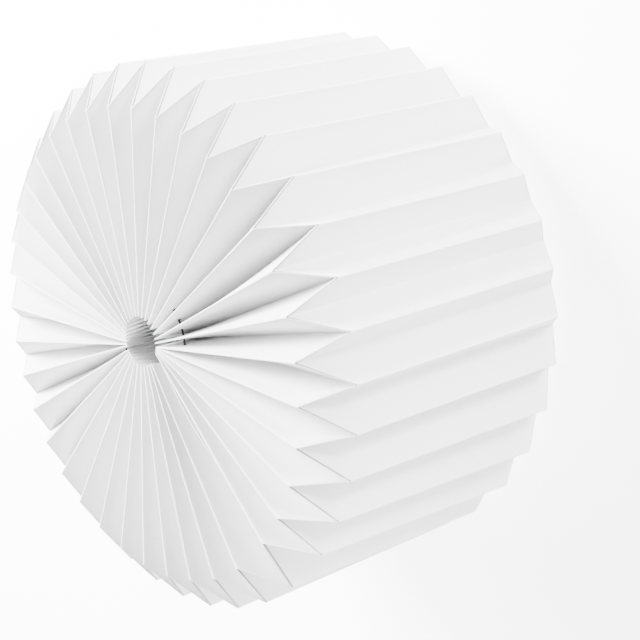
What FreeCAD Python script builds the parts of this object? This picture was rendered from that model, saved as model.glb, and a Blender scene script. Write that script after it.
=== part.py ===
import FreeCAD, Part
import math
import os

# Round folded paper lantern. One long sheet is pleated like an accordion and glued into a ring. A mitre fold
# near each long edge turns every pleat inwards over the end of the drum, where a thread drawn through
# punched holes gathers the pleats round a small hole. Axis on Z, standing on the folds of its lower end.

SIZES = (
    # alias, value in millimetres unless noted, what it is
    ("outer_diameter", 300.0, "across the outer ridges of the side"),
    ("pleat_count", 37.0, "pleats round the lantern (a count)"),
    ("fold_inset", 21.7, "how far the inner folds of the side lie inside its outer ridges"),
    ("side_length", 146.0, "length of an outer ridge, from one end fold to the other"),
    ("mitre_rise", 17.5, "how far an inner fold runs past the end of an outer ridge"),
    ("centre_sink", 4.0, "how far the ridges of an end drop from its rim to its hole"),
    ("hole_diameter", 27.0, "across the hole in each end, between the ends of the ridges"),
    ("paper_thickness", 0.3, "thickness of the sheet"),
    ("seam_pleat", 23.0, "number of the pleat with the glued seam (a count)"),
    ("seam_setback", 1.2, "from the cut edge of the glued layer to the fold beside it"),
    ("punch_diameter", 3.2, "holes punched for the gathering thread"),
    ("ring_diameter", 58.0, "across the ring of punched holes, centre to centre"),
    ("ring_rise", 5.0, "height of the punched holes above the ends of the outer ridges"),
    ("thread_diameter", 1.2, "the gathering thread"),
    ("knot_diameter", 2.0, "the knot that closes the thread"),
    ("knot_pleat", 4.0, "number of the pleat beside the knot's valley (a count)"),
)

BENDS = 3          # flat facets along each bent end panel, from its rim to the hole
RING_SIDES = 8     # sides of the outline of a punched hole and of the thread


def set_size(sizes, alias, value, meaning):
    """Add a row to the spreadsheet."""
    row = 1
    while sizes.getContents("A%d" % row):
        row += 1
    sizes.set("A%d" % row, alias)
    sizes.set("B%d" % row, str(value))
    sizes.set("C%d" % row, meaning)
    sizes.setAlias("B%d" % row, alias)
    sizes.recompute()


def make_sheet(doc):
    """Spreadsheet with one row for each driving size."""
    sizes = doc.addObject("Spreadsheet::Sheet", "Sizes")
    for alias, value, meaning in SIZES:
        set_size(sizes, alias, value, meaning)
    return sizes


# ---------------------------------------------------------------- fold geometry


def polar(radius, angle, height):
    """Point at a radius and an angle round the lantern's axis."""
    return FreeCAD.Vector(radius * math.cos(angle), radius * math.sin(angle), height)


def between(start, end, share):
    """Point a share of the way from start to end."""
    return start + (end - start) * share


def upward_normal(first, second):
    """Unit normal of the plane of two directions, on its upper side."""
    normal = first.cross(second).normalize()
    return normal if normal.z > 0 else normal * -1


def valley_end(tip, tip_to_end, ridge_end, panel_width, half_angle):
    """Radius and height of a valley's end: paper can't stretch, so it lies tip_to_end from the tip
    and one panel width from the end of the ridge beside it. Two circles cross there."""
    centre = (ridge_end[0] * math.cos(half_angle), ridge_end[1])
    reach = math.sqrt(panel_width ** 2 - (ridge_end[0] * math.sin(half_angle)) ** 2)
    apart = math.dist(tip, centre)
    along = (tip_to_end ** 2 - reach ** 2 + apart ** 2) / (2 * apart)
    across = math.sqrt(tip_to_end ** 2 - along ** 2)
    step = ((centre[0] - tip[0]) / apart, (centre[1] - tip[1]) / apart)
    return (tip[0] + along * step[0] - across * step[1], tip[1] + along * step[1] + across * step[0])


def corner_shift(fold_angle, side_normal, end_normal):
    """Shift of a corner, in its mirror plane, that moves both planes that meet there out by 1 mm."""
    outward = polar(1, fold_angle, 0)
    radial = 1 / side_normal.dot(outward)
    rise = (1 - end_normal.dot(outward) * radial) / end_normal.z
    return outward * radial + FreeCAD.Vector(0, 0, rise)


class HalfPleat:
    """Corners of the paper from a knee, at angle 0, to the tip beside it, in the upper half only.

    A knee is where an inner fold of the side turns into a ridge of the end, and a tip is where an outer
    ridge of the side turns into a valley of the end. Each line below runs from the rim to the hole, and
    has its two skins: a fold is sharp on its hollow side and blunt, a sheet wide, on its bent side.
    """

    def __init__(self, sizes):
        self.thickness = sizes.paper_thickness
        self.skin = sizes.paper_thickness / 2
        self.half_angle = math.pi / sizes.pleat_count
        self.set_folds(sizes)
        self.set_rim()
        self.set_skins()
        self.seam_share = 1 - sizes.seam_setback / self.panel_width

    def set_folds(self, sizes):
        """Ends of the fold lines, in the middle of the sheet."""
        tip = (sizes.outer_diameter / 2, sizes.side_length / 2)
        knee = (tip[0] - sizes.fold_inset, tip[1] + sizes.mitre_rise)
        ridge_end = (sizes.hole_diameter / 2, knee[1] - sizes.centre_sink)
        self.tip = polar(tip[0], self.half_angle, tip[1])
        self.knee = polar(knee[0], 0, knee[1])
        self.panel_width = math.hypot(self.tip.x - self.knee.x, self.tip.y)
        tip_to_end = math.dist(knee, ridge_end) + sizes.mitre_rise
        valley = valley_end(tip, tip_to_end, ridge_end, self.panel_width, self.half_angle)
        self.ridge_end = polar(ridge_end[0], 0, ridge_end[1])
        self.valley_end = polar(valley[0], self.half_angle, valley[1])

    def set_rim(self):
        """How the tip and the knee move as a skin is offset by 1 mm from the middle of the sheet."""
        crease = self.knee - self.tip
        side_normal = FreeCAD.Vector(-crease.y, crease.x, 0).normalize()
        side_normal = side_normal if side_normal.dot(self.tip) > 0 else side_normal * -1
        at_tip = upward_normal(crease, self.valley_end - self.tip)
        at_knee = upward_normal(crease, self.ridge_end - self.knee)
        self.tip_shift = corner_shift(self.half_angle, side_normal, at_tip)
        self.knee_shift = corner_shift(0, side_normal, at_knee)

    def set_skins(self):
        """Corners of both skins along the ridge and the valley, and the panel's normal at the ridge."""
        self.outer_ridge, self.inner_ridge = [self.knee_at(self.skin)], [self.knee_at(-self.skin)]
        self.outer_valley, self.inner_valley = [self.tip_at(self.skin)], [self.tip_at(-self.skin)]
        self.normals = [None]
        ridge_line, valley_line = self.knee - self.ridge_end, self.tip - self.valley_end
        to_tip, to_knee = polar(1, math.pi / 2, 0), polar(1, self.half_angle - math.pi / 2, 0)
        for bend in range(1, BENDS + 1):
            ridge = between(self.knee, self.ridge_end, bend / BENDS)
            valley = between(self.tip, self.valley_end, bend / BENDS)
            blunt, hollow = self.fold_corners(ridge_line, valley - ridge, to_tip, 1)
            self.outer_ridge.append(ridge + blunt)
            self.inner_ridge.append(ridge + hollow)
            blunt, hollow = self.fold_corners(valley_line, valley - ridge, to_knee, -1)
            self.inner_valley.append(valley + blunt)
            self.outer_valley.append(valley + hollow)
            self.normals.append(upward_normal(ridge_line, valley - ridge))

    def fold_corners(self, fold, across, to_panel, bent):
        """Shifts from a fold's middle line to its blunt corner, which is above it where bent is 1 and
        below it where bent is -1, and to its hollow corner on the other side."""
        upright = upward_normal(fold, to_panel)
        normal = upward_normal(fold, across)
        slope = normal.dot(upright)
        overhang = self.skin * (1 - slope) / abs(normal.dot(to_panel))
        return upright * (self.skin * bent) + to_panel * overhang, upright * (-bent * self.skin / slope)

    def tip_at(self, offset):
        """The tip on the skin at this offset from the middle of the sheet."""
        return self.tip + self.tip_shift * offset

    def knee_at(self, offset):
        """The knee on the skin at this offset from the middle of the sheet."""
        return self.knee + self.knee_shift * offset

    def seam_foot(self):
        """Line on the outer skin where the cut edge of the seam's second layer stands."""
        return [between(valley, ridge, self.seam_share)
                for valley, ridge in zip(self.outer_valley, self.outer_ridge)]

    def seam_edge(self):
        """Upper line of that cut edge, one sheet above its foot."""
        raised = self.skin + self.thickness
        at_rim = between(self.tip_at(raised), self.knee_at(raised), self.seam_share)
        return [at_rim] + [foot + normal * self.thickness
                           for foot, normal in zip(self.seam_foot()[1:], self.normals[1:])]


# ---------------------------------------------------------------- faces of the sheet


def flat(*corners):
    """Flat face through its corners."""
    return Part.Face(Part.makePolygon([*corners, corners[0]]))


def bent_panel(ridge, valley):
    """Facets of an end panel between two lines of corners: it twists, so each bend takes two."""
    facets = []
    for bend in range(BENDS):
        facets.append(flat(ridge[bend], valley[bend], valley[bend + 1]))
        facets.append(flat(ridge[bend], valley[bend + 1], ridge[bend + 1]))
    return facets


def mirrored(point, axis):
    """The point's image on the other side of the plane square to this axis, Y or Z."""
    sign_y, sign_z = (-1, 1) if axis == "Y" else (1, -1)
    return FreeCAD.Vector(point.x, sign_y * point.y, sign_z * point.z)


def side_panel(tip, knee):
    """Side panel from its tip edge to its knee edge, over the full height."""
    return flat(tip, knee, mirrored(knee, "Z"), mirrored(tip, "Z"))


def blunt_fold(apex, shoulders, other_shoulders):
    """Facets of a fold's blunt back, from the rim, where it is sharp, to the hole."""
    facets = [flat(apex, shoulders[1], other_shoulders[1])]
    for bend in range(1, BENDS):
        facets.append(flat(shoulders[bend], shoulders[bend + 1],
                           other_shoulders[bend + 1], other_shoulders[bend]))
    return facets


def turned_across(points, fold_angle):
    """The points' images across the mirror plane at this angle round the axis."""
    turn = FreeCAD.Rotation(FreeCAD.Vector(0, 0, 1), math.degrees(fold_angle))
    return [turn.multVec(mirrored(turn.inverted().multVec(point), "Y")) for point in points]


def outer_faces(half):
    """Outer skin of a plain half pleat: its side panel, and its end panel with the edge by the hole."""
    side = [side_panel(half.outer_valley[0], half.outer_ridge[0])]
    rim = flat(half.outer_ridge[-1], half.outer_valley[-1], half.inner_ridge[-1])
    return side, bent_panel(half.outer_ridge, half.outer_valley) + [rim]


def seam_faces(half):
    """Outer skin of the half pleat with the glued seam: a second layer lies on the panel, with its cut
    edge beside the knee's fold, and runs out into the tip's fold."""
    foot, edge = half.seam_foot(), half.seam_edge()
    ridge, valley = half.outer_ridge, half.outer_valley
    side = [side_panel(foot[0], ridge[0]), side_panel(edge[0], foot[0]), side_panel(valley[0], edge[0])]
    end = bent_panel(ridge, foot) + bent_panel(foot, edge) + bent_panel(edge, valley)
    end.append(flat(ridge[-1], foot[-1], half.inner_ridge[-1]))
    end.append(flat(foot[-1], valley[-1], half.inner_ridge[-1]))
    end.append(flat(foot[-1], edge[-1], valley[-1]))
    return side, end


def inner_faces(half):
    """Inner skin of a half pleat, and the rest of its cut edge by the hole."""
    side = [side_panel(half.inner_valley[0], half.inner_ridge[0])]
    rim = flat(half.outer_valley[-1], half.inner_valley[-1], half.inner_ridge[-1])
    return side, bent_panel(half.inner_ridge, half.inner_valley) + [rim]


def fold_faces(half):
    """Blunt backs of a pleat's ridge and of the valley at its tip, with their ends by the hole."""
    ridge, other_ridge = half.outer_ridge, turned_across(half.outer_ridge, 0)
    valley, other_valley = half.inner_valley, turned_across(half.inner_valley, half.half_angle)
    ends = [flat(half.inner_ridge[-1], ridge[-1], other_ridge[-1]),
            flat(half.outer_valley[-1], valley[-1], other_valley[-1])]
    return blunt_fold(ridge[0], ridge, other_ridge) + blunt_fold(valley[0], valley, other_valley) + ends


def mirror_faces(faces, normal):
    """Copies of the faces, mirrored through the lantern's middle."""
    return [face.mirror(FreeCAD.Vector(0, 0, 0), normal) for face in faces]


def pleat_faces(half, with_seam):
    """All the faces of one pleat: two half pleats, mirrored, and the backs of its folds."""
    along_y = FreeCAD.Vector(0, 1, 0)
    along_z = FreeCAD.Vector(0, 0, 1)
    outer_side, outer_end = outer_faces(half)
    inner_side, inner_end = inner_faces(half)
    left_side, left_end = seam_faces(half) if with_seam else (outer_side, outer_end)
    side = outer_side + inner_side + mirror_faces(left_side + inner_side, along_y)
    end = outer_end + inner_end + mirror_faces(left_end + inner_end, along_y) + fold_faces(half)
    return side + end + mirror_faces(end, along_z)


def folded_sheet(doc, sizes, half):
    """The whole sheet, pleated, mitred at both ends and glued into a ring, before it is punched."""
    plain = Part.makeCompound(pleat_faces(half, False))
    seamed = Part.makeCompound(pleat_faces(half, True))
    faces = []
    for number in range(int(sizes.pleat_count)):
        pleat = (seamed if number == int(sizes.seam_pleat) else plain).copy()
        pleat.rotate(FreeCAD.Vector(0, 0, 0), FreeCAD.Vector(0, 0, 1), number * 360 / sizes.pleat_count)
        faces.extend(pleat.Faces)
    shell = Part.makeShell(faces)
    shell.sewShape()
    sheet = doc.addObject("Part::Feature", "FoldedSheet")
    sheet.Shape = Part.makeSolid(shell)
    sheet.Placement = FreeCAD.Placement(FreeCAD.Vector(0, 0, half.outer_ridge[0].z), FreeCAD.Rotation())
    return sheet


def thread_ring(doc, name, radius, across, height):
    """Ring of straight runs, one square to each ridge, with a corner at each valley, as a taut thread
    lies. The last three arguments are expressions: the ring's radius, its section's width, its height."""
    path = doc.addObject("Part::RegularPolygon", name + "Path")
    path.setExpression("Polygon", "Sizes.pleat_count")
    path.setExpression("Circumradius", "(%s) / cos(180 deg / Sizes.pleat_count)" % radius)
    path.setExpression("Placement.Rotation.Angle", "180 deg / Sizes.pleat_count")
    path.setExpression("Placement.Base.z", height)
    outline = doc.addObject("Part::RegularPolygon", name + "Outline")
    outline.Polygon = RING_SIDES
    outline.setExpression("Circumradius", "(%s) / 2 / cos(180 deg / %d)" % (across, RING_SIDES))
    upright = FreeCAD.Rotation(FreeCAD.Vector(1, 0, 0), 90)
    flat_inwards = FreeCAD.Rotation(FreeCAD.Vector(0, 0, 1), 180 / RING_SIDES)
    outline.Placement = FreeCAD.Placement(FreeCAD.Vector(), upright * flat_inwards)
    outline.setExpression("Placement.Base.x", radius)
    outline.setExpression("Placement.Base.z", height)
    ring = doc.addObject("Part::Sweep", name)
    ring.Sections = [outline]
    ring.Spine = (path, [])
    ring.Solid = True
    ring.Transition = "Right corner"
    return ring


def punched_sheet(doc, folded, heights):
    """The folded sheet with a ring of punched holes through its pleats at each end."""
    punches = [thread_ring(doc, "Punch" + end, "Sizes.ring_diameter / 2", "Sizes.punch_diameter", height)
               for end, height in heights.items()]
    both = doc.addObject("Part::MultiFuse", "Punches")
    both.Shapes = punches
    sheet = doc.addObject("Part::Cut", "PunchedSheet")
    sheet.Base = folded
    sheet.Tool = both
    sheet.Label = "paper_sheet"
    return sheet


def gathering_thread(doc, end, height):
    """Thread drawn tight against the inner sides of the punched holes, with its knot in a valley."""
    radius = "Sizes.ring_diameter / 2 - (Sizes.punch_diameter - Sizes.thread_diameter) / 2"
    ring = thread_ring(doc, "Ring" + end, radius, "Sizes.thread_diameter", height)
    angle = "(Sizes.knot_pleat + 0.5) * 360 deg / Sizes.pleat_count"
    knot = doc.addObject("Part::Sphere", "Knot" + end)
    knot.setExpression("Radius", "Sizes.knot_diameter / 2")
    knot.setExpression("Placement.Base.x", "(%s) * cos(%s)" % (radius, angle))
    knot.setExpression("Placement.Base.y", "(%s) * sin(%s)" % (radius, angle))
    knot.setExpression("Placement.Base.z", height)
    thread = doc.addObject("Part::MultiFuse", "Thread" + end)
    thread.Shapes = [ring, knot]
    thread.Label = end.lower() + "_thread"
    return thread


def check_and_export(doc, parts):
    """Stop on any failed object, then write each part to a file named by its label."""
    for item in doc.Objects:
        if {"Invalid", "Error"} & set(item.State):
            raise RuntimeError("%s failed: %s" % (item.Name, item.State))
    for item in parts:
        if item.Shape.isNull() or not item.Shape.isValid() or len(item.Shape.Solids) != 1:
            raise RuntimeError("%s isn't one valid solid" % item.Label)
    for item in parts:
        item.Shape.Solids[0].exportStep("parts/%s.step" % item.Label)


def main():
    """Build the document, recompute it and export its three parts."""
    os.makedirs("parts", exist_ok=True)
    doc = FreeCAD.newDocument("Lantern")
    sizes = make_sheet(doc)
    half = HalfPleat(sizes)
    set_size(sizes, "half_height", half.outer_ridge[0].z, "from the middle to a knee (worked out)")
    folded = folded_sheet(doc, sizes, half)
    rise = "(Sizes.side_length / 2 + Sizes.ring_rise)"
    heights = {"Upper": "Sizes.half_height + " + rise, "Lower": "Sizes.half_height - " + rise}
    parts = [punched_sheet(doc, folded, heights)]
    parts += [gathering_thread(doc, end, height) for end, height in heights.items()]
    doc.recompute()
    check_and_export(doc, parts)


main()
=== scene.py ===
"""Round folded paper lantern: a pleated sheet, its glued seam, and the thread at each end."""

import logging
import math
from dataclasses import dataclass, field
from enum import Enum
from typing import Any

import bpy
import numpy as np
from mathutils import Matrix, Vector


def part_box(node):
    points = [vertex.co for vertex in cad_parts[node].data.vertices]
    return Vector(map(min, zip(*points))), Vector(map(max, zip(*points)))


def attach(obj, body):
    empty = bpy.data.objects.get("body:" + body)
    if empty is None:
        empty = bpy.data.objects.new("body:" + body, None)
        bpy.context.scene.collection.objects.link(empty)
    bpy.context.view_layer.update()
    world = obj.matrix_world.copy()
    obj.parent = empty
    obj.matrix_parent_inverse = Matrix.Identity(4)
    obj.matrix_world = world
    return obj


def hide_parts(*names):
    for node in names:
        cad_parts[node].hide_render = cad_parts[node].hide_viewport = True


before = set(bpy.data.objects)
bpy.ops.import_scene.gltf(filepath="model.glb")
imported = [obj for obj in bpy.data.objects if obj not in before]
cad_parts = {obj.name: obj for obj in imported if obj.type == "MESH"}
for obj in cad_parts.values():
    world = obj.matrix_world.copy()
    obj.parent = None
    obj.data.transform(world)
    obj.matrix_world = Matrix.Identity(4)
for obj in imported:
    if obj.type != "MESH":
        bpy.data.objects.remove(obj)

logging.basicConfig(level=logging.INFO, format="%(message)s")
LOG = logging.getLogger("lantern")

MM = 0.001
PLEATS = 37
UP = np.array([0.0, 0.0, 1.0])

# The UV map that holds each point's place in the flat sheet, in metres.
FLAT_MAP = "flat_sheet"

# The sRGB curve: a straight line up to its knee, and a power beyond it.
SRGB_KNEE = 0.04045
SRGB_SLOPE = 12.92
SRGB_OFFSET = 0.055
SRGB_POWER = 2.4

# A Mix node's sockets by number, because those for numbers and for colours share their names.
FACTOR, NUMBER_A, NUMBER_B, COLOUR_A, COLOUR_B = 0, 2, 3, 6, 7
MIXED_NUMBER, MIXED_COLOUR = 0, 2

# Settings that several nodes share.
OF_COLOURS = {"data_type": "RGBA"}
SMOOTH_STEP = {"interpolation_type": "SMOOTHSTEP"}


# ---- node and colour helpers


def linear(colour: str) -> tuple[float, float, float, float]:
    """Turn an sRGB hex colour to linear values.

    Args:
        colour: Six hex digits, such as "F4F3F0".

    Returns:
        Linear red, green, blue and an alpha of 1.
    """
    channels = []
    for start in (0, 2, 4):
        share = int(colour[start:start + 2], 16) / 255
        curved = ((share + SRGB_OFFSET) / (1 + SRGB_OFFSET)) ** SRGB_POWER
        channels.append(share / SRGB_SLOPE if share <= SRGB_KNEE else curved)
    return channels[0], channels[1], channels[2], 1.0


def add_node(
    material: bpy.types.Material,
    kind: str,
    settings: dict[str, Any] | None = None,
    inputs: dict[str | int, Any] | None = None,
) -> bpy.types.Node:
    """Add a node with its settings, and set or link its inputs.

    Args:
        material: The material whose node tree gets the node.
        kind: The node's type, such as "ShaderNodeMath".
        settings: Attributes of the node.
        inputs: Values for its input sockets by name or number; an output socket is linked.

    Returns:
        The new node.
    """
    tree = material.node_tree
    node = tree.nodes.new(kind)
    for name, value in (settings or {}).items():
        setattr(node, name, value)
    for name, value in (inputs or {}).items():
        if isinstance(value, bpy.types.NodeSocket):
            tree.links.new(value, node.inputs[name])
        else:
            node.inputs[name].default_value = value
    return node


def new_material(name: str) -> bpy.types.Material:
    """Make an empty node material.

    Args:
        name: The material's name.

    Returns:
        The material, without a node.
    """
    material = bpy.data.materials.new(name)
    material.use_nodes = True
    material.node_tree.nodes.clear()
    return material


# ---- mesh helpers


def unit(vectors: np.ndarray) -> np.ndarray:
    """Return the vectors, which lie along the last axis, at a length of 1."""
    return vectors / np.linalg.norm(vectors, axis=-1, keepdims=True)


def grid_faces(rows: int, columns: int, first: int, closed: bool, flip: bool) -> np.ndarray:
    """Faces over a grid of points.

    Args:
        rows: Rows of points.
        columns: Points in each row.
        first: Number of the grid's first point.
        closed: Whether each row is a ring.
        flip: Whether to turn the faces over.

    Returns:
        Four point numbers a face.
    """
    starts = np.arange(columns if closed else columns - 1)
    row, column = np.meshgrid(np.arange(rows - 1), starts, indexing="ij")
    after = (column + 1) % columns
    corners = [row * columns + column, row * columns + after,
               (row + 1) * columns + after, (row + 1) * columns + column]
    faces = first + np.stack(corners, axis=-1).reshape(-1, 4)
    return faces[:, ::-1] if flip else faces


def strip_faces(one: np.ndarray, other: np.ndarray, closed: bool) -> np.ndarray:
    """Faces of a strip between two lines of points.

    Args:
        one: Point numbers along one line.
        other: Point numbers along the other line.
        closed: Whether the lines are rings.

    Returns:
        Four point numbers a face.
    """
    if closed:
        one, other = np.append(one, one[0]), np.append(other, other[0])
    return np.stack([one[:-1], other[:-1], other[1:], one[1:]], axis=1)


def new_mesh(name: str, points: np.ndarray, faces: np.ndarray) -> bpy.types.Mesh:
    """Make a mesh from arrays.

    Args:
        name: The mesh's name.
        points: Points along the last axis, in order of their numbers.
        faces: Four point numbers a face.

    Returns:
        The mesh.
    """
    mesh = bpy.data.meshes.new(name)
    mesh.from_pydata(points.reshape(-1, 3).tolist(), [], faces.tolist())
    return mesh


def card_mesh(name: str, skins: np.ndarray, closed: bool) -> bpy.types.Mesh:
    """Make a closed mesh from the two faces of a card.

    Args:
        name: The mesh's name.
        skins: Points by face of the card, row and column, with the outer face first.
        closed: Whether each row is a ring.

    Returns:
        The mesh.
    """
    rows, columns = skins.shape[1:3]
    outer, inner = np.arange(2 * rows * columns).reshape(2, rows, columns)
    faces = [grid_faces(rows, columns, 0, closed, False),
             grid_faces(rows, columns, rows * columns, closed, True),
             strip_faces(outer[0], inner[0], closed),
             strip_faces(inner[-1], outer[-1], closed)]
    if not closed:
        faces.append(strip_faces(inner[:, 0], outer[:, 0], False))
        faces.append(strip_faces(outer[:, -1], inner[:, -1], False))
    return new_mesh(name, skins, np.concatenate(faces))


def tube_mesh(name: str, path: np.ndarray, radii: np.ndarray, sides: int) -> bpy.types.Mesh:
    """Make a closed ring-shaped tube.

    Args:
        name: The mesh's name.
        path: Points round the ring.
        radii: The tube's radius at each point, or a row of radii round its section.
        sides: Points round each section.

    Returns:
        The mesh.
    """
    forward = unit(np.roll(path, -1, axis=0) - np.roll(path, 1, axis=0))
    level = unit(np.cross(forward, UP))
    upright = np.cross(level, forward)
    turn = np.arange(sides) * 2 * np.pi / sides
    spread = radii if radii.ndim == 2 else np.repeat(radii[:, None], sides, axis=1)
    across = (level[:, None] * np.cos(turn)[None, :, None]
              + upright[:, None] * np.sin(turn)[None, :, None])
    points = path[:, None] + across * spread[..., None]
    faces = grid_faces(len(path) + 1, sides, 0, True, True) % (len(path) * sides)
    mesh = new_mesh(name, points, faces)
    mesh.shade_smooth()
    return mesh


def corner_points(mesh: bpy.types.Mesh) -> np.ndarray:
    """Find which point each corner of each face is at.

    Args:
        mesh: The mesh.

    Returns:
        A point number a corner.
    """
    corners = np.empty(len(mesh.loops), dtype=np.int64)
    mesh.loops.foreach_get("vertex_index", corners)
    return corners


def map_flat(mesh: bpy.types.Mesh, across: np.ndarray, along: np.ndarray) -> None:
    """Give a mesh the flat sheet's coordinates as a UV map.

    Args:
        mesh: The mesh.
        across: How far across the flat sheet each corner of each face lies.
        along: How far along it each corner lies.
    """
    flat = np.stack([across, along], axis=1)
    layer = mesh.uv_layers.new(name=FLAT_MAP)
    layer.data.foreach_set("uv", flat.astype(np.float32).reshape(-1))


def new_object(name: str, mesh: bpy.types.Mesh, material: bpy.types.Material) -> bpy.types.Object:
    """Link a mesh to the scene as an object with one material.

    Args:
        name: The object's name.
        mesh: Its mesh.
        material: Its only material.

    Returns:
        The new object.
    """
    mesh.materials.append(material)
    piece = bpy.data.objects.new(name, mesh)
    bpy.context.scene.collection.objects.link(piece)
    return piece


def shade_smooth(piece: bpy.types.Object, sharpest: float) -> None:
    """Shade a piece smooth but for edges that turn by more than this angle, in degrees."""
    piece.data.shade_smooth()
    piece.data.set_sharp_from_angle(angle=math.radians(sharpest))


# ---- finishes


@dataclass(frozen=True)
class CardPaperFinish:
    """Uncoated white card, machine folded: matt, faintly fibrous and a little translucent.

    Folding burnishes it a little whiter, and the bright line along every fold is that burnish
    with a painted highlight added, where the rounded fold catches the light. The fine dark line
    beside the upper mitres is painted shade, in the scored groove there. A fleck's size is a share
    of the spacing, and a line is full up to its core and gone at its reach, which are both shares
    of its width.
    """

    colour: str = "EAEAEA"
    shade: str = "E6E6E6"
    fleck: str = "BEBCB8"
    # Painted highlight over the burnish of each fold and mitre bead.
    burnish_and_highlight: str = "FFFFFF"
    # Painted shade in the scored groove beside each upper mitre.
    painted_groove_shade: str = "908E8B"
    roughness: float = 0.82
    ior: float = 1.5
    translucency: float = 1.0
    depth: float = 0.35 * MM
    cloud_size: float = 38 * MM
    cloud_detail: float = 5.0
    cloud_roughness: float = 0.55
    fibre_size: float = 0.9 * MM
    fibre_detail: float = 3.0
    fibre_distortion: float = 0.8
    fibre_strength: float = 0.25
    fibre_height: float = 0.03 * MM
    fleck_spacing: float = 9 * MM
    fleck_size: float = 0.035
    fleck_strength: float = 0.6
    fold_width: float = 0.3 * MM
    fold_reach: float = 1.4
    line_core: float = 0.5
    line_reach: float = 1.5
    bead_offset: float = 0.3 * MM
    score_offset: float = 0.55 * MM
    score_width: float = 0.45 * MM
    fade_length: float = 42 * MM
    fade_gap: float = 6 * MM
    inner_fade: float = 0.9
    outer_fade: float = 0.65

    def build(self, panel_width: float, rim: float) -> bpy.types.Material:
        """Make the material.

        Args:
            panel_width: Distance from fold to fold in the flat sheet.
            rim: Distance from the middle of the flat sheet to its mitre folds.

        Returns:
            The paper's material. It reads the flat sheet's own coordinates from the mesh's UV map.
        """
        paper = new_material("uncoated_white_card")
        place = add_node(paper, "ShaderNodeUVMap", {"uv_map": FLAT_MAP}).outputs["UV"]
        flat = add_node(paper, "ShaderNodeSeparateXYZ", None, {"Vector": place})
        across, along = flat.outputs["X"], flat.outputs["Y"]
        height = add_node(paper, "ShaderNodeMath", {"operation": "ABSOLUTE"}, {0: along})
        past = add_node(paper, "ShaderNodeMath", {"operation": "SUBTRACT"}, {
            0: height.outputs[0], 1: rim}).outputs[0]
        past_upper = add_node(paper, "ShaderNodeMath", {"operation": "SUBTRACT"}, {
            0: along, 1: rim}).outputs[0]
        colour = self.add_flecks(paper, place, self.add_clouds(paper, place))
        colour = self.add_long_folds(paper, across, past, panel_width, colour)
        # The bright line on each mitre's bead: burnish with a painted highlight.
        colour = self.add_line(
            paper, past, self.bead_offset, self.fold_width, self.burnish_and_highlight, colour)
        # The dark line beside each upper mitre: painted shade in its scored groove.
        colour = self.add_line(
            paper, past_upper, -self.score_offset, self.score_width, self.painted_groove_shade, colour)
        surface = add_node(paper, "ShaderNodeBsdfPrincipled", None, {
            "Base Color": colour, "Roughness": self.roughness, "IOR": self.ior,
            "Normal": self.add_fibres(paper, place), "Subsurface Weight": self.translucency,
            "Subsurface Radius": (1.0, 1.0, 1.0), "Subsurface Scale": self.depth})
        add_node(paper, "ShaderNodeOutputMaterial", None, {"Surface": surface.outputs["BSDF"]})
        return paper

    def add_clouds(
        self, paper: bpy.types.Material, place: bpy.types.NodeSocket
    ) -> bpy.types.NodeSocket:
        """Add the sheet's formation: slow, faint clouds of more and less fibre.

        Args:
            paper: The material.
            place: Flat sheet coordinates.

        Returns:
            The clouded colour.
        """
        clouds = add_node(paper, "ShaderNodeTexNoise", {"noise_dimensions": "2D"}, {
            "Vector": place, "Scale": 1 / self.cloud_size, "Detail": self.cloud_detail,
            "Roughness": self.cloud_roughness})
        mix = add_node(paper, "ShaderNodeMix", OF_COLOURS, {
            FACTOR: clouds.outputs["Fac"], COLOUR_A: linear(self.shade),
            COLOUR_B: linear(self.colour)})
        return mix.outputs[MIXED_COLOUR]

    def add_flecks(
        self, paper: bpy.types.Material, place: bpy.types.NodeSocket, colour: bpy.types.NodeSocket
    ) -> bpy.types.NodeSocket:
        """Add the few darker specks that unbleached fibre leaves in such card.

        Args:
            paper: The material.
            place: Flat sheet coordinates.
            colour: The colour so far.

        Returns:
            The flecked colour.
        """
        cells = add_node(paper, "ShaderNodeTexVoronoi", {"voronoi_dimensions": "2D"}, {
            "Vector": place, "Scale": 1 / self.fleck_spacing, "Randomness": 1.0})
        near = add_node(paper, "ShaderNodeMath", {"operation": "LESS_THAN"}, {
            0: cells.outputs["Distance"], 1: self.fleck_size})
        amount = add_node(paper, "ShaderNodeMath", {"operation": "MULTIPLY"}, {
            0: near.outputs[0], 1: self.fleck_strength})
        mix = add_node(paper, "ShaderNodeMix", OF_COLOURS, {
            FACTOR: amount.outputs[0], COLOUR_A: colour, COLOUR_B: linear(self.fleck)})
        return mix.outputs[MIXED_COLOUR]

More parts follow.
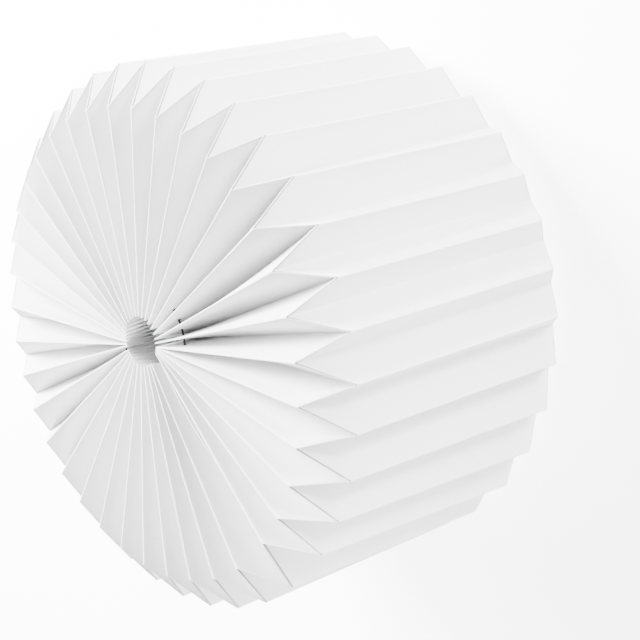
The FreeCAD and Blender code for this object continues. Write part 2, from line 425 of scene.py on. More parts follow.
    def add_long_folds(
        self,
        paper: bpy.types.Material,
        across: bpy.types.NodeSocket,
        past: bpy.types.NodeSocket,
        panel_width: float,
        colour: bpy.types.NodeSocket,
    ) -> bpy.types.NodeSocket:
        """Add the bright line along each long fold: its burnish with a painted highlight.

        On the side, the lines of outer folds are faint, and those of inner folds fade
        towards a mitre.

        Args:
            paper: The material.
            across: Distance across the flat sheet, with a knee's fold at every second panel width.
            past: Distance beyond the mitre folds.
            panel_width: Distance from fold to fold.
            colour: The colour so far.

        Returns:
            The colour with pale fold lines.
        """
        to_fold = add_node(paper, "ShaderNodeMath", {"operation": "PINGPONG"}, {
            0: across, 1: panel_width / 2})
        line = add_node(paper, "ShaderNodeMapRange", SMOOTH_STEP, {
            "Value": to_fold.outputs[0], "From Min": self.fold_width * self.line_core,
            "From Max": self.fold_width * self.fold_reach, "To Min": 1.0, "To Max": 0.0})
        to_knee = add_node(paper, "ShaderNodeMath", {"operation": "PINGPONG"}, {
            0: across, 1: panel_width})
        inner = add_node(paper, "ShaderNodeMath", {"operation": "LESS_THAN"}, {
            0: to_knee.outputs[0], 1: panel_width / 2})
        fade = add_node(paper, "ShaderNodeMapRange", SMOOTH_STEP, {
            "Value": past, "From Min": -self.fade_length, "From Max": -self.fade_gap,
            "To Min": 0.0, "To Max": self.inner_fade})
        on_side = add_node(paper, "ShaderNodeMath", {"operation": "LESS_THAN"}, {0: past, 1: 0.0})
        lost = add_node(paper, "ShaderNodeMix", {"data_type": "FLOAT"}, {
            FACTOR: inner.outputs[0], NUMBER_A: self.outer_fade, NUMBER_B: fade.outputs[0]})
        lost_side = add_node(paper, "ShaderNodeMath", {"operation": "MULTIPLY"}, {
            0: lost.outputs[MIXED_NUMBER], 1: on_side.outputs[0]})
        kept = add_node(paper, "ShaderNodeMath", {"operation": "SUBTRACT"}, {
            0: 1.0, 1: lost_side.outputs[0]})
        amount = add_node(paper, "ShaderNodeMath", {"operation": "MULTIPLY"}, {
            0: line.outputs[0], 1: kept.outputs[0]})
        # Painted highlight along the fold, over its burnish.
        mix = add_node(paper, "ShaderNodeMix", OF_COLOURS, {
            FACTOR: amount.outputs[0], COLOUR_A: colour, COLOUR_B: linear(self.burnish_and_highlight)})
        return mix.outputs[MIXED_COLOUR]

    def add_line(
        self,
        paper: bpy.types.Material,
        past: bpy.types.NodeSocket,
        place: float,
        width: float,
        line_colour: str,
        colour: bpy.types.NodeSocket,
    ) -> bpy.types.NodeSocket:
        """Add a line that runs along every mitre.

        Args:
            paper: The material.
            past: Distance beyond the mitre folds.
            place: Where the line lies, as a distance beyond the mitre folds.
            width: The line's width.
            line_colour: The line's colour.
            colour: The colour so far.

        Returns:
            The colour with the line.
        """
        offset = add_node(paper, "ShaderNodeMath", {"operation": "SUBTRACT"}, {0: past, 1: place})
        apart = add_node(paper, "ShaderNodeMath", {"operation": "ABSOLUTE"}, {
            0: offset.outputs[0]})
        line = add_node(paper, "ShaderNodeMapRange", SMOOTH_STEP, {
            "Value": apart.outputs[0], "From Min": width * self.line_core,
            "From Max": width * self.line_reach, "To Min": 1.0, "To Max": 0.0})
        mix = add_node(paper, "ShaderNodeMix", OF_COLOURS, {
            FACTOR: line.outputs[0], COLOUR_A: colour, COLOUR_B: linear(line_colour)})
        return mix.outputs[MIXED_COLOUR]

    def add_fibres(
        self, paper: bpy.types.Material, place: bpy.types.NodeSocket
    ) -> bpy.types.NodeSocket:
        """Add the felt side's fibre relief.

        The real relief is too fine to show, so it is drawn as coarse as it needs to show.

        Args:
            paper: The material.
            place: Flat sheet coordinates.

        Returns:
            The bumped normal.
        """
        fibres = add_node(paper, "ShaderNodeTexNoise", {"noise_dimensions": "2D"}, {
            "Vector": place, "Scale": 1 / self.fibre_size, "Detail": self.fibre_detail,
            "Distortion": self.fibre_distortion})
        bump = add_node(paper, "ShaderNodeBump", None, {
            "Height": fibres.outputs["Fac"], "Strength": self.fibre_strength,
            "Distance": self.fibre_height})
        return bump.outputs["Normal"]


@dataclass(frozen=True)
class WaxedThreadFinish:
    """Black waxed polyester thread, twisted from two plies: near black, with a soft waxy glint."""

    colour: str = "17171A"
    worn: str = "2B2A2C"
    roughness: float = 0.42
    ior: float = 1.46
    filament: float = 0.25 * MM
    filament_detail: float = 2.0
    filament_strength: float = 0.4
    filament_height: float = 0.05 * MM

    def build(self) -> bpy.types.Material:
        """Make the material.

        Returns:
            The thread's material, streaked by its filaments and bumped by them.
        """
        thread = new_material("waxed_black_thread")
        place = add_node(thread, "ShaderNodeTexCoord").outputs["Object"]
        streaks = add_node(thread, "ShaderNodeTexNoise", None, {
            "Vector": place, "Scale": 1 / self.filament, "Detail": self.filament_detail})
        mix = add_node(thread, "ShaderNodeMix", OF_COLOURS, {
            FACTOR: streaks.outputs["Fac"], COLOUR_A: linear(self.colour),
            COLOUR_B: linear(self.worn)})
        bump = add_node(thread, "ShaderNodeBump", None, {
            "Height": streaks.outputs["Fac"], "Strength": self.filament_strength,
            "Distance": self.filament_height})
        surface = add_node(thread, "ShaderNodeBsdfPrincipled", None, {
            "Base Color": mix.outputs[MIXED_COLOUR], "Roughness": self.roughness,
            "IOR": self.ior, "Normal": bump.outputs["Normal"]})
        add_node(thread, "ShaderNodeOutputMaterial", None, {"Surface": surface.outputs["BSDF"]})
        return thread


@dataclass(frozen=True)
class FloorFinish:
    """Plain white studio floor, lit from within so that it reads as pure white."""

    colour: str = "FAFAFA"
    shade: str = "F6F6F7"
    cloud_size: float = 500 * MM
    roughness: float = 0.9
    glow: float = 5.0

    def build(self) -> bpy.types.Material:
        """Make the material.

        Returns:
            The floor's material, a white matt sheet with the faintest unevenness.
        """
        floor = new_material("white_studio_floor")
        place = add_node(floor, "ShaderNodeTexCoord").outputs["Object"]
        clouds = add_node(floor, "ShaderNodeTexNoise", None, {
            "Vector": place, "Scale": 1 / self.cloud_size})
        mix = add_node(floor, "ShaderNodeMix", OF_COLOURS, {
            FACTOR: clouds.outputs["Fac"], COLOUR_A: linear(self.colour),
            COLOUR_B: linear(self.shade)})
        surface = add_node(floor, "ShaderNodeBsdfPrincipled", None, {
            "Base Color": mix.outputs[MIXED_COLOUR], "Roughness": self.roughness,
            "Emission Color": mix.outputs[MIXED_COLOUR], "Emission Strength": self.glow})
        add_node(floor, "ShaderNodeOutputMaterial", None, {"Surface": surface.outputs["BSDF"]})
        return floor


# ---- the two ends


class End(Enum):
    """The lantern's two ends, and which way each faces."""

    UPPER = 1
    LOWER = -1

    @property
    def label(self) -> str:
        """Return the word that starts the names of this end's pieces."""
        return self.name.lower()

    @property
    def thread_node(self) -> str:
        """Return the CAD node of this end's gathering thread."""
        return self.label + "_thread"


@dataclass
class ThreadRing:
    """The ring in which a gathering thread lies, level and centred on the lantern's axis."""

    radius: float
    height: float
    thickness: float = 1.2 * MM

    @classmethod
    def of_node(cls, node: str) -> "ThreadRing":
        """Return the ring of a CAD thread, whose box has half a thread more on each side."""
        low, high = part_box(node)
        return cls((high.y - low.y) / 2 - cls.thickness / 2, (low.z + high.z) / 2)

    def circle(self, radius: float, count: int) -> np.ndarray:
        """Return this many points round a level circle of a radius, at the ring's height."""
        angle = np.arange(count) * 2 * np.pi / count
        return np.stack(
            [radius * np.cos(angle), radius * np.sin(angle), np.full(count, self.height)], axis=1)


@dataclass(frozen=True)
class Gather:
    """A place round an end where its pleats lie further on, or less far, than even spacing."""

    pleat: float
    degrees: float
    spread: float

    def shift(self, pleats: np.ndarray, count: int) -> np.ndarray:
        """Return how far, in radians, this gather moves the fold at each pleat number."""
        apart = (pleats - self.pleat + count / 2) % count - count / 2
        return np.radians(self.degrees) * np.exp(-(apart / self.spread) ** 2)


@dataclass(frozen=True)
class Ease:
    """How one ring of a hand-gathered lantern's folds differs from even spacing.

    The pleat after the seam leads, each pleat after it lags a little more, and the lap takes up the
    rest. A spring is the crowding of the first pleats after the seam. Where knees stand out, the
    pleats weren't pressed quite shut. Angles are in degrees, and the spring's reach is in pleats.
    """

    gathers: tuple[Gather, ...]
    lead: float = 1.1
    lag: float = 0.107
    spring: float = 0.0
    spring_reach: float = 2.6
    sway: float = 0.0
    sway_pleat: float = 0.0
    trim: float = 0.0
    drift: float = 0.0
    drift_pleat: float = 0.0
    knee_out: float = 0.0
    knee_turn: float = 0.0

    def turn(self, pleats: np.ndarray, seam: int, count: int) -> np.ndarray:
        """Angle by which each fold is ahead of even spacing.

        Args:
            pleats: Pleat numbers of the folds.
            seam: Number of the pleat with the seam.
            count: Pleats round the lantern.

        Returns:
            Angles in radians.
        """
        past_seam = (pleats - seam) % count
        turn = np.radians(self.lead - self.lag * past_seam)
        turn += np.radians(self.spring) * np.exp(-(past_seam / self.spring_reach) ** 2)
        turn += np.radians(self.sway) * np.sin((pleats - self.sway_pleat) * 2 * np.pi / count)
        turn += np.radians(self.knee_turn) * (pleats % 1 == 0)
        for gather in self.gathers:
            turn += gather.shift(pleats, count)
        return turn

    def swell(self, pleats: np.ndarray, count: int) -> np.ndarray:
        """Return how far out each fold stands, in metres, for an end that isn't quite round."""
        drift = self.drift * np.cos((pleats - self.drift_pleat) * 2 * np.pi / count)
        return self.trim + drift + self.knee_out * (pleats % 1 == 0)


# ---- the folded sheet


@dataclass
class FoldedSheet:
    """The lantern's body: one long card, pleated, mitred near both long edges and glued to a ring.

    A knee is where an inner fold of the side turns into a ridge of the end; a tip is where an outer
    ridge of the side turns into a valley of the end. Folds are numbered by pleat: knees at whole
    numbers and tips halfway between them. The mesh has rows across all its folds, which lie closer
    near a mitre, at the mitre rows' distances from it in mm. Its columns lie at shares of the way
    round each fold and across each panel.
    """

    finish: CardPaperFinish = field(default_factory=CardPaperFinish)
    pleats: int = PLEATS
    outer_radius: float = 150 * MM
    fold_inset: float = 21.7 * MM
    side_length: float = 146 * MM
    mitre_rise: float = 17.5 * MM
    centre_sink: float = 4 * MM
    hole_radius: float = 13.5 * MM
    thickness: float = 0.3 * MM
    seam_pleat: int = 23
    fold_reach: float = 0.9 * MM
    fold_half_width: float = 0.17 * MM
    mitre_reach: float = 0.4 * MM
    score_depth: float = 0.45 * MM
    score_width: float = 0.22 * MM
    score_offset: float = 0.55 * MM
    bead_offset: float = 0.2 * MM
    bead_width: float = 0.4 * MM
    bead: float = 0.15 * MM
    bow: float = 0.4 * MM
    side_hollow: float = 1.5 * MM
    end_hollow: float = 1.5 * MM
    punch_radius: float = 1.6 * MM
    punch_sides: int = 10
    punch_steps: int = 4
    side_rows: int = 4
    side_gap: float = 12 * MM
    mitre_rows: tuple[float, ...] = (
        -6, -3, -1.2, -0.9, -0.75, -0.6, -0.45, -0.3, -0.15, 0, 0.15, 0.35, 0.7, 1.8, 4)
    end_gap: float = 9 * MM
    end_rows: int = 13
    fold_shares: tuple[float, ...] = (0.0, 1 / 3, 2 / 3, 1.0)
    panel_shares: tuple[float, ...] = (0.09, 0.3, 0.5, 0.7, 0.91)
    sharpest: float = 62.0
    rim_ease: Ease = Ease(
        (Gather(28.5, -0.7, 2.5), Gather(34, 0.8, 2.5), Gather(17, 0.5, 3.0),
         Gather(22.3, 0.9, 1.0)),
        trim=-1.6 * MM, drift=3.2 * MM, drift_pleat=23.0)
    far_rim_ease: Ease = Ease(
        (Gather(26.5, 0.75, 1.3), Gather(31, -0.4, 1.0), Gather(23.6, -2.0, 0.9)),
        sway=2.2, sway_pleat=27.5, trim=1.0 * MM, drift=2.0 * MM, drift_pleat=28.0,
        knee_out=4.6 * MM, knee_turn=0.9)
    hole_ease: Ease = Ease(
        (Gather(5.5, 18, 4.8), Gather(11, -4, 0.7), Gather(15, -10, 2.5), Gather(21, 6, 1.5),
         Gather(28, -5.5, 0.8), Gather(30, -10, 2.3), Gather(35.5, 5, 2.0)),
        spring=24.0)
    seed: int = 7

    def __post_init__(self) -> None:
        """Work out the sizes that follow from the others, and find the middle of the CAD sheet."""
        low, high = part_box("paper_sheet")
        self.middle = (low.z + high.z) / 2
        self.folds = 2 * self.pleats
        self.half_angle = math.pi / self.pleats
        half_side = self.side_length / 2
        self.tip = (self.outer_radius, half_side)
        self.knee = (self.outer_radius - self.fold_inset, half_side + self.mitre_rise)
        self.ridge_end = (self.hole_radius, self.knee[1] - self.centre_sink)
        chord = self.tip[0] * math.cos(self.half_angle) - self.knee[0]
        self.panel_width = math.hypot(chord, self.tip[0] * math.sin(self.half_angle))
        self.valley_end = self.find_valley_end()
        self.rim = half_side + self.mitre_rise / 2
        self.edge = self.rim + math.dist(self.knee, self.ridge_end) + self.mitre_rise / 2
        self.heights = self.row_heights()
        self.lines = self.fold_lines()

    def find_valley_end(self) -> tuple[float, float]:
        """Find where a valley ends.

        Card can't stretch, so the point keeps its distances from the tip and from the end of the
        ridge beside it.

        Returns:
            The point's radius and height.
        """
        aside = self.ridge_end[0] * math.sin(self.half_angle)
        centre = (self.ridge_end[0] * math.cos(self.half_angle), self.ridge_end[1])
        reach = math.sqrt(self.panel_width ** 2 - aside ** 2)
        from_tip = math.dist(self.knee, self.ridge_end) + self.mitre_rise
        apart = math.dist(self.tip, centre)
        along = (from_tip ** 2 - reach ** 2 + apart ** 2) / (2 * apart)
        across = math.sqrt(from_tip ** 2 - along ** 2)
        step = ((centre[0] - self.tip[0]) / apart, (centre[1] - self.tip[1]) / apart)
        return (self.tip[0] + along * step[0] - across * step[1],
                self.tip[1] + along * step[1] + across * step[0])

    # -- lines along the folds

    def row_heights(self) -> np.ndarray:
        """Find how far along the flat sheet each row lies.

        Returns:
            Distances from the sheet's middle, from the lower edge to the upper one.
        """
        side = np.linspace(0, self.rim - self.side_gap, self.side_rows)
        mitre = self.rim + np.array(self.mitre_rows) * MM
        end = np.linspace(self.rim + self.end_gap, self.edge, self.end_rows)
        upper = np.concatenate([side, mitre, end])
        return np.concatenate([-upper[:0:-1], upper])

    def station(
        self, ease: Ease, at_knee: tuple[float, float], at_tip: tuple[float, float], end: End
    ) -> np.ndarray:
        """Points of every fold line at the rim or the hole of one end.

        Args:
            ease: How this ring of points differs from even spacing.
            at_knee: Radius and height of the points of whole-numbered lines.
            at_tip: Radius and height of the points of the lines between them.
            end: Which end of the lantern.

        Returns:
            A point a fold line, from the seam on, measured from the lantern's middle.
        """
        numbers = self.seam_pleat + np.arange(self.folds) / 2
        whole = np.arange(self.folds) % 2 == 0
        radius = np.where(whole, at_knee[0], at_tip[0]) + ease.swell(numbers, self.pleats)
        height = np.where(whole, at_knee[1], at_tip[1]) * end.value
        angle = numbers * 2 * np.pi / self.pleats + ease.turn(numbers, self.seam_pleat, self.pleats)
        return np.stack([radius * np.cos(angle), radius * np.sin(angle), height], axis=1)

    def fold_lines(self) -> np.ndarray:
        """Lay a line of points down every fold.

        Returns:
            Points by row and fold, from the lower hole to the upper one.
        """
        eases = {End.UPPER: self.rim_ease, End.LOWER: self.far_rim_ease}
        rims = {end: self.station(eases[end], self.knee, self.tip, end) for end in End}
        holes = {end: self.station(self.hole_ease, self.ridge_end, self.valley_end, end)
                 for end in End}
        rows = []
        for height in self.heights:
            end, other = (End.UPPER, End.LOWER) if height >= 0 else (End.LOWER, End.UPPER)
            rows.append(self.row_of_points(abs(height), rims[other], rims[end], holes[end]))
        return np.array(rows)

    def row_of_points(
        self, height: float, far: np.ndarray, rim: np.ndarray, hole: np.ndarray
    ) -> np.ndarray:
        """One row of points across the fold lines, rounded where it crosses the mitre.

        Args:
            height: The row's distance from the middle of the flat sheet.
            far: Corners at the other end's rim.
            rim: Corners at this end's rim.
            hole: Points at this end's hole.

        Returns:
            A point on each fold line.
        """
        past = height - self.rim
        if past <= -self.mitre_reach:
            return far + (rim - far) * (height + self.rim) / (2 * self.rim)
        if past >= self.mitre_reach:
            return rim + (hole - rim) * past / (self.edge - self.rim)
        share = (past / self.mitre_reach + 1) / 2
        before = rim + unit(far - rim) * self.mitre_reach
        after = rim + unit(hole - rim) * self.mitre_reach
        return before * (1 - share) ** 2 + rim * 2 * share * (1 - share) + after * share ** 2

    # -- the middle surface

    def middle_surface(self) -> tuple[np.ndarray, np.ndarray]:
        """Grid of points in the middle of the sheet.

        Each panel bows a little at random. Those after a knee's fold were also pressed hollow on
        the side, and those after a tip's fold on the ends.

        Returns:
            Points by row and column, and each column's distance across the flat sheet, with one
            more at the end where the ring closes.
        """
        columns, across = [], []
        bows = np.random.default_rng(self.seed).normal(0, self.bow, (self.folds, 2))
        bows[::2, 0] -= self.side_hollow
        bows[1::2, 1] -= self.end_hollow
        for number in range(self.folds):
            fold, following, previous = self.panel_folds(number)
            for column, offset in self.rounded_fold(fold, previous, following):
                columns.append(column)
                across.append(number * self.panel_width + offset)
            for share in self.panel_shares:
                columns.append(self.panel_points(number, share, bows[number]))
                across.append((number + share) * self.panel_width)
        across.append(across[0] + self.folds * self.panel_width)
        return np.array(columns).transpose(1, 0, 2), np.array(across)

    def panel_folds(self, number: int) -> tuple[np.ndarray, np.ndarray, np.ndarray]:
        """Return points down a panel's first fold, the fold after it and the fold before it."""
        following = self.lines[:, (number + 1) % self.folds]
        return self.lines[:, number], following, self.lines[:, number - 1]

    def panel_points(self, number: int, share: float, bow: np.ndarray) -> np.ndarray:
        """Points down a panel, part of the way from its first fold to the next.

        Args:
            number: The panel's number, counted from the seam.
            share: How far across the panel.
            bow: How far the panel bows on the side and on the ends.

        Returns:
            A point in each row.
        """
        fold, following, _ = self.panel_folds(number)
        lift = self.crown(bow) * 4 * share * (1 - share)
        return fold + (following - fold) * share + lift[:, None] * self.panel_normals(number)

    def panel_normals(self, number: int) -> np.ndarray:
        """Return a panel's unit normals, row by row, on its outer side."""
        fold, following, _ = self.panel_folds(number)
        return unit(np.cross(following - fold, np.gradient((fold + following) / 2, axis=0)))

    def rounded_fold(
        self, fold: np.ndarray, previous: np.ndarray, following: np.ndarray
    ) -> list[tuple[np.ndarray, float]]:
        """Columns that round a long fold, whose two panels stand a sheet apart where it is shut.

        Args:
            fold: Points down the fold.
            previous: Points down the fold before it.
            following: Points down the fold after it.

        Returns:
            Columns of points, each with its distance from the fold in the flat sheet.
        """
        level = np.stack([-fold[:, 1], fold[:, 0], np.zeros(len(fold))], axis=1)
        apart = unit(level) * self.fold_half_width
        points = [fold - apart + unit(previous - fold) * self.fold_reach, fold - apart,
                  fold + apart, fold + apart + unit(following - fold) * self.fold_reach]
        columns = []
        for share in self.fold_shares:
            rest = 1 - share
            weights = (rest ** 3, 3 * share * rest ** 2, 3 * share ** 2 * rest, share ** 3)
            column = sum(point * weight for point, weight in zip(points, weights))
            columns.append((column, (2 * share - 1) * self.fold_reach))
        return columns

    def crown(self, bow: np.ndarray) -> np.ndarray:
        """Find how far a panel bows out of its plane at its middle.

        Args:
            bow: How far the panel bows on the side and on the ends.

        Returns:
            A distance a row.
        """
        past = (np.abs(self.heights) - self.rim) / (self.edge - self.rim)
        on_side = np.cos(np.clip(self.heights / self.rim, -1, 1) * np.pi / 2)
        on_end = np.sin(np.clip(past, 0, 1) * np.pi)
        return bow[0] * on_side + bow[1] * on_end

    def score(self) -> np.ndarray:
        """Shape each mitre's bead and the scored groove beside it.

        Returns:
            How far each row stands out of the sheet.
        """
        past = np.abs(self.heights) - self.rim
        groove = self.score_depth * np.exp(-((past + self.score_offset) / self.score_width) ** 2)
        return self.bead * np.exp(-((past - self.bead_offset) / self.bead_width) ** 2) - groove

    # -- the mesh

    def build(self) -> bpy.types.Object:
        """Build the sheet as one closed mesh, punch its holes and dress it.

        Returns:
            The finished sheet.
        """
        points, across = self.middle_surface()
        around = np.roll(points, -1, axis=1) - np.roll(points, 1, axis=1)
        normals = unit(np.cross(around, np.gradient(points, axis=0)))
        points = points + normals * self.score()[:, None, None]
        half = normals * self.thickness / 2
        skins = np.stack([points + half, points - half])
        skins[..., 2] += self.middle
        mesh = card_mesh("folded_sheet", skins, True)
        self.lay_out(mesh, across)
        sheet = new_object("folded_sheet", mesh, self.finish.build(self.panel_width, self.rim))
        for end in End:
            self.punch(sheet, end)
        shade_smooth(sheet, self.sharpest)
        return sheet

    def lay_out(self, mesh: bpy.types.Mesh, across: np.ndarray) -> None:
        """Lay the mesh out as the flat sheet, in which the first column comes back as the last.

        Args:
            mesh: The sheet's mesh.
            across: Each column's distance across the flat sheet, and where the ring closes.
        """
        columns = len(across) - 1
        corners = corner_points(mesh)
        faces = (corners % columns).reshape(-1, 4)
        closing = (faces.max(axis=1) == columns - 1) & (faces.min(axis=1) == 0)
        faces = np.where(closing[:, None] & (faces == 0), columns, faces)
        row = corners // columns % len(self.heights)
        map_flat(mesh, across[faces.reshape(-1)], self.heights[row])

    def punch(self, sheet: bpy.types.Object, end: End) -> None:
        """Punch a ring of holes through the pleats, along the line of a gathering thread.

        The thread lies against the inner sides of its holes.

        Args:
            sheet: The sheet.
            end: The end whose holes are punched.
        """
        ring = ThreadRing.of_node(end.thread_node)
        middle = ring.radius + self.punch_radius - ring.thickness / 2
        path = ring.circle(middle, self.punch_steps * self.pleats)
        tube = tube_mesh("punch", path, np.full(len(path), self.punch_radius), self.punch_sides)
        tool = new_object("punch", tube, sheet.data.materials[0])
        cut = sheet.modifiers.new("punch", "BOOLEAN")
        cut.operation, cut.object, cut.solver = "DIFFERENCE", tool, "EXACT"
        punched = sheet.evaluated_get(bpy.context.evaluated_depsgraph_get())
        mesh = bpy.data.meshes.new_from_object(punched)
        sheet.modifiers.clear()
        sheet.data = mesh
        bpy.data.objects.remove(tool)


@dataclass
class SeamLap:
    """The far end of the long card, glued over its first panel, with its cut edge beside a ridge.

    On the ends the glue has let go a little near that edge. What it still holds is a share of the
    way from a knee to the hole, and a share of the panel's width.
    """

    sheet: FoldedSheet
    setback: float = 0.9 * MM
    lift: float = 2.4 * MM
    glue: float = 0.03 * MM
    start: float = 0.05
    held_along: float = 0.35
    held_across: float = 0.4
    columns: int = 9
    sharpest: float = 50.0

    def build(self, finish: bpy.types.Material) -> bpy.types.Object:
        """Build the glued layer as a thin closed sheet that runs out into the tip's fold.

        Args:
            finish: The paper's material.

        Returns:
            The layer.
        """
        sheet = self.sheet
        panel, no_bow = sheet.folds - 1, np.zeros(2)
        shares = np.linspace(self.start, 1 - self.setback / sheet.panel_width, self.columns)
        normals = sheet.panel_normals(panel)[:, None]
        away = sheet.thickness / 2 + sheet.score()[:, None] + self.gap(shares)
        foot = np.stack([sheet.panel_points(panel, share, no_bow) for share in shares], axis=1)
        foot += normals * away[..., None]
        skins = np.stack([foot + normals * sheet.thickness, foot])
        skins[..., 2] += sheet.middle
        mesh = card_mesh("seam_lap", skins, False)
        corners = corner_points(mesh)
        across = (panel + shares[corners % self.columns]) * sheet.panel_width
        row = corners // self.columns % len(sheet.heights)
        map_flat(mesh, across, sheet.heights[row])
        lap = new_object("seam_lap", mesh, finish)
        shade_smooth(lap, self.sharpest)
        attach(lap, "root")
        return lap

    def gap(self, shares: np.ndarray) -> np.ndarray:
        """How far the layer has come away from the panel under it.

        Args:
            shares: Places across the panel.

        Returns:
            Gaps in metres, by row and place.
        """
        sheet = self.sheet
        along = np.clip((np.abs(sheet.heights) - sheet.rim) / (sheet.edge - sheet.rim), 0, 1)
        loose_along = np.clip((along - self.held_along) / (1 - self.held_along), 0, 1)
        loose_across = np.clip((shares - self.held_across) / (1 - self.held_across), 0, 1)
        opening = np.sin(loose_along * np.pi) ** 2
        return self.glue + self.lift * opening[:, None] * loose_across[None, :] ** 2


# ---- the gathering threads


@dataclass
class GatheringThread:
    """Waxed thread drawn through the punched holes of one end and knotted in a valley.

    The plies' depth is a share of the thread's radius. The knot's size is the radius of its thread,
    and its depth is in knot sizes.
    """

    end: End
    finish: bpy.types.Material
    pleats: int = PLEATS
    twist_pitch: float = 2.6 * MM
    ply_depth: float = 0.16
    sides: int = 12
    steps: int = 560
    knot_pleat: float = 4.5
    knot_size: float = 0.36 * MM
    knot_depth: float = 1.2
    knot_sides: int = 8
    knot_steps: int = 72

    def build(self) -> bpy.types.Object:
        """Build the thread, twisted from two plies, with its knot.

        Returns:
            The thread, in place of its CAD node.
        """
        node = self.end.thread_node
        ring = ThreadRing.of_node(node)
        path = ring.circle(ring.radius, self.steps)
        twists = round(2 * np.pi * ring.radius / self.twist_pitch)
        place = np.arange(self.steps)[:, None] / self.steps * 2 * np.pi * twists
        section = np.arange(self.sides)[None, :] * 2 * np.pi / self.sides
        dent = self.ply_depth * (1 - np.cos(2 * (section - place))) / 2
        radii = ring.thickness / 2 * (1 - dent)
        name = self.end.label + "_waxed_thread"
        thread = new_object(name, tube_mesh(name, path, radii, self.sides), self.finish)
        knot = self.build_knot(ring)
        knot.parent = thread
        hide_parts(node)
        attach(thread, "root")
        return thread

    def build_knot(self, ring: ThreadRing) -> bpy.types.Object:
        """Build the overhand knot that closes the thread, as a trefoil: twice round, three across.

        Args:
            ring: The thread's ring.

        Returns:
            The knot, beside the thread's ring in its valley.
        """
        angle = np.arange(self.knot_steps) * 2 * np.pi / self.knot_steps
        reach = 2 + np.cos(3 * angle)
        coils = np.stack([reach * np.cos(2 * angle), np.sin(3 * angle) * self.knot_depth,
                          reach * np.sin(2 * angle)], axis=1)
        turn = self.knot_pleat * 2 * math.pi / self.pleats
        cos, sin = math.cos(turn), math.sin(turn)
        spin = np.array([[cos, -sin, 0], [sin, cos, 0], [0, 0, 1]])
        middle = np.array([ring.radius * cos, ring.radius * sin, ring.height])
        path = coils * self.knot_size @ spin.T + middle
        radii = np.full(len(path), self.knot_size)
        name = self.end.label + "_knot"
        return new_object(name, tube_mesh(name, path, radii, self.knot_sides), self.finish)


# ---- the studio


@dataclass(frozen=True)
class Softbox:
    """A square softbox: which way it stands from the lantern, its side, and its power in watts."""

    name: str
    direction: tuple[float, float, float]
    side: float
    power: float


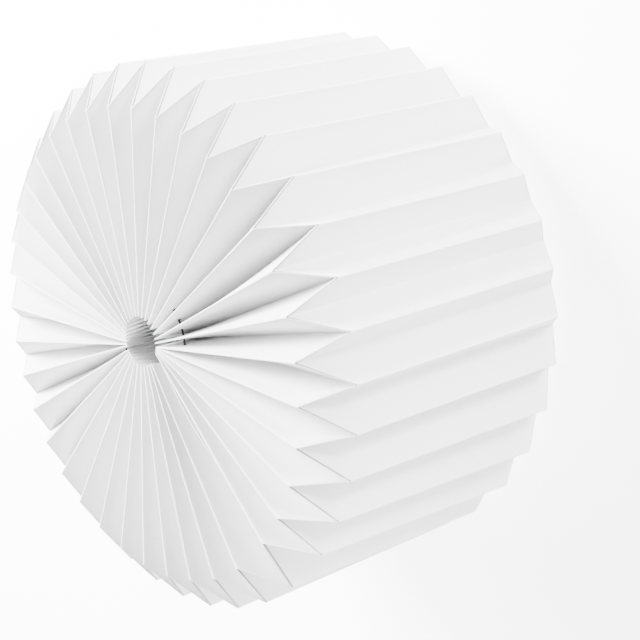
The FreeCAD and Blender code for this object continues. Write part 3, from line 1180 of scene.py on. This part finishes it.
@dataclass
class Studio:
    """Plain white floor, soft lights all round, and the camera, whose angles are in degrees."""

    floor_finish: FloorFinish = field(default_factory=FloorFinish)
    floor_radius: float = 4.0
    floor_sides: int = 96
    target: tuple[float, float, float] = (-0.0081, -0.0222, 0.0684)
    distance: float = 0.798
    azimuth: float = -74.205
    elevation: float = 40.547
    roll: float = -105.237
    lens: float = 78.65
    clip_start: float = 0.02
    room_colour: str = "FFFFFF"
    room_strength: float = 0.5
    light_target: tuple[float, float, float] = (0.0, 0.0, 0.09)
    light_distance: float = 1.5
    softboxes: tuple[Softbox, ...] = (
        Softbox("key_softbox", (0.557, 0.557, 0.616), 0.7, 230.0),
        Softbox("back_softbox", (0.204, 0.761, 0.616), 0.7, 35.0),
        Softbox("side_softbox", (-0.761, 0.204, 0.616), 0.7, 28.0),
        Softbox("front_softbox", (0.133, -0.754, 0.643), 0.7, 4.0),
        Softbox("fill_softbox", (0.573, -0.819, 0.045), 0.3, 35.0),
        Softbox("low_softbox", (0.996, -0.087, 0.045), 0.3, 27.0))

    def build_floor(self) -> bpy.types.Object:
        """Build the floor under the lantern.

        Returns:
            The floor, a wide disc.
        """
        bpy.ops.mesh.primitive_circle_add(
            vertices=self.floor_sides, radius=self.floor_radius, fill_type="NGON")
        floor = bpy.context.object
        floor.name = "studio_floor"
        floor.data.materials.append(self.floor_finish.build())
        return floor

    def aim(self, item: bpy.types.Object, away: Vector, target: Vector, roll: float = 0.0) -> None:
        """Stand a camera or light off from its target, looking at it.

        Args:
            item: The camera or light.
            away: From the target to the item.
            target: What it looks at.
            roll: Its turn about its line of sight, in degrees.
        """
        facing = away.to_track_quat("Z", "Y").to_matrix().to_4x4()
        turn = Matrix.Rotation(math.radians(roll), 4, "Z")
        item.matrix_world = Matrix.Translation(target + away) @ facing @ turn

    def build_camera(self) -> bpy.types.Object:
        """Build the scene's camera.

        Returns:
            The camera.
        """
        camera = bpy.data.objects.new("camera", bpy.data.cameras.new("camera"))
        camera.data.lens = self.lens
        camera.data.clip_start = self.clip_start
        bpy.context.scene.collection.objects.link(camera)
        azimuth, elevation = math.radians(self.azimuth), math.radians(self.elevation)
        side = math.cos(elevation)
        direction = (side * math.cos(azimuth), side * math.sin(azimuth), math.sin(elevation))
        self.aim(camera, Vector(direction) * self.distance, Vector(self.target), self.roll)
        bpy.context.scene.camera = camera
        return camera

    def build_lights(self) -> None:
        """Light the room dimly and evenly, and the lantern by its softboxes, most from the key."""
        world = bpy.data.worlds.new("soft_room")
        world.use_nodes = True
        room = world.node_tree.nodes["Background"]
        room.inputs["Color"].default_value = linear(self.room_colour)
        room.inputs["Strength"].default_value = self.room_strength
        bpy.context.scene.world = world
        for softbox in self.softboxes:
            light = bpy.data.lights.new(softbox.name, "AREA")
            light.size = softbox.side
            light.energy = softbox.power
            item = bpy.data.objects.new(softbox.name, light)
            bpy.context.scene.collection.objects.link(item)
            away = Vector(softbox.direction).normalized() * self.light_distance
            self.aim(item, away, Vector(self.light_target))


def main() -> None:
    """Build the lantern piece by piece, then the studio round it."""
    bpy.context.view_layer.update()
    sheet = FoldedSheet()
    body = sheet.build()
    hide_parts("paper_sheet")
    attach(body, "root")
    LOG.info("folded sheet: %d faces", len(body.data.polygons))
    lap = SeamLap(sheet).build(body.data.materials[0])
    LOG.info("seam lap: %d faces", len(lap.data.polygons))
    waxed = WaxedThreadFinish().build()
    for end in End:
        thread = GatheringThread(end, waxed).build()
        LOG.info("%s: %d faces", thread.name, len(thread.data.polygons))
    studio = Studio()
    studio.build_floor()
    studio.build_camera()
    studio.build_lights()


if __name__ == "__main__":
    main()
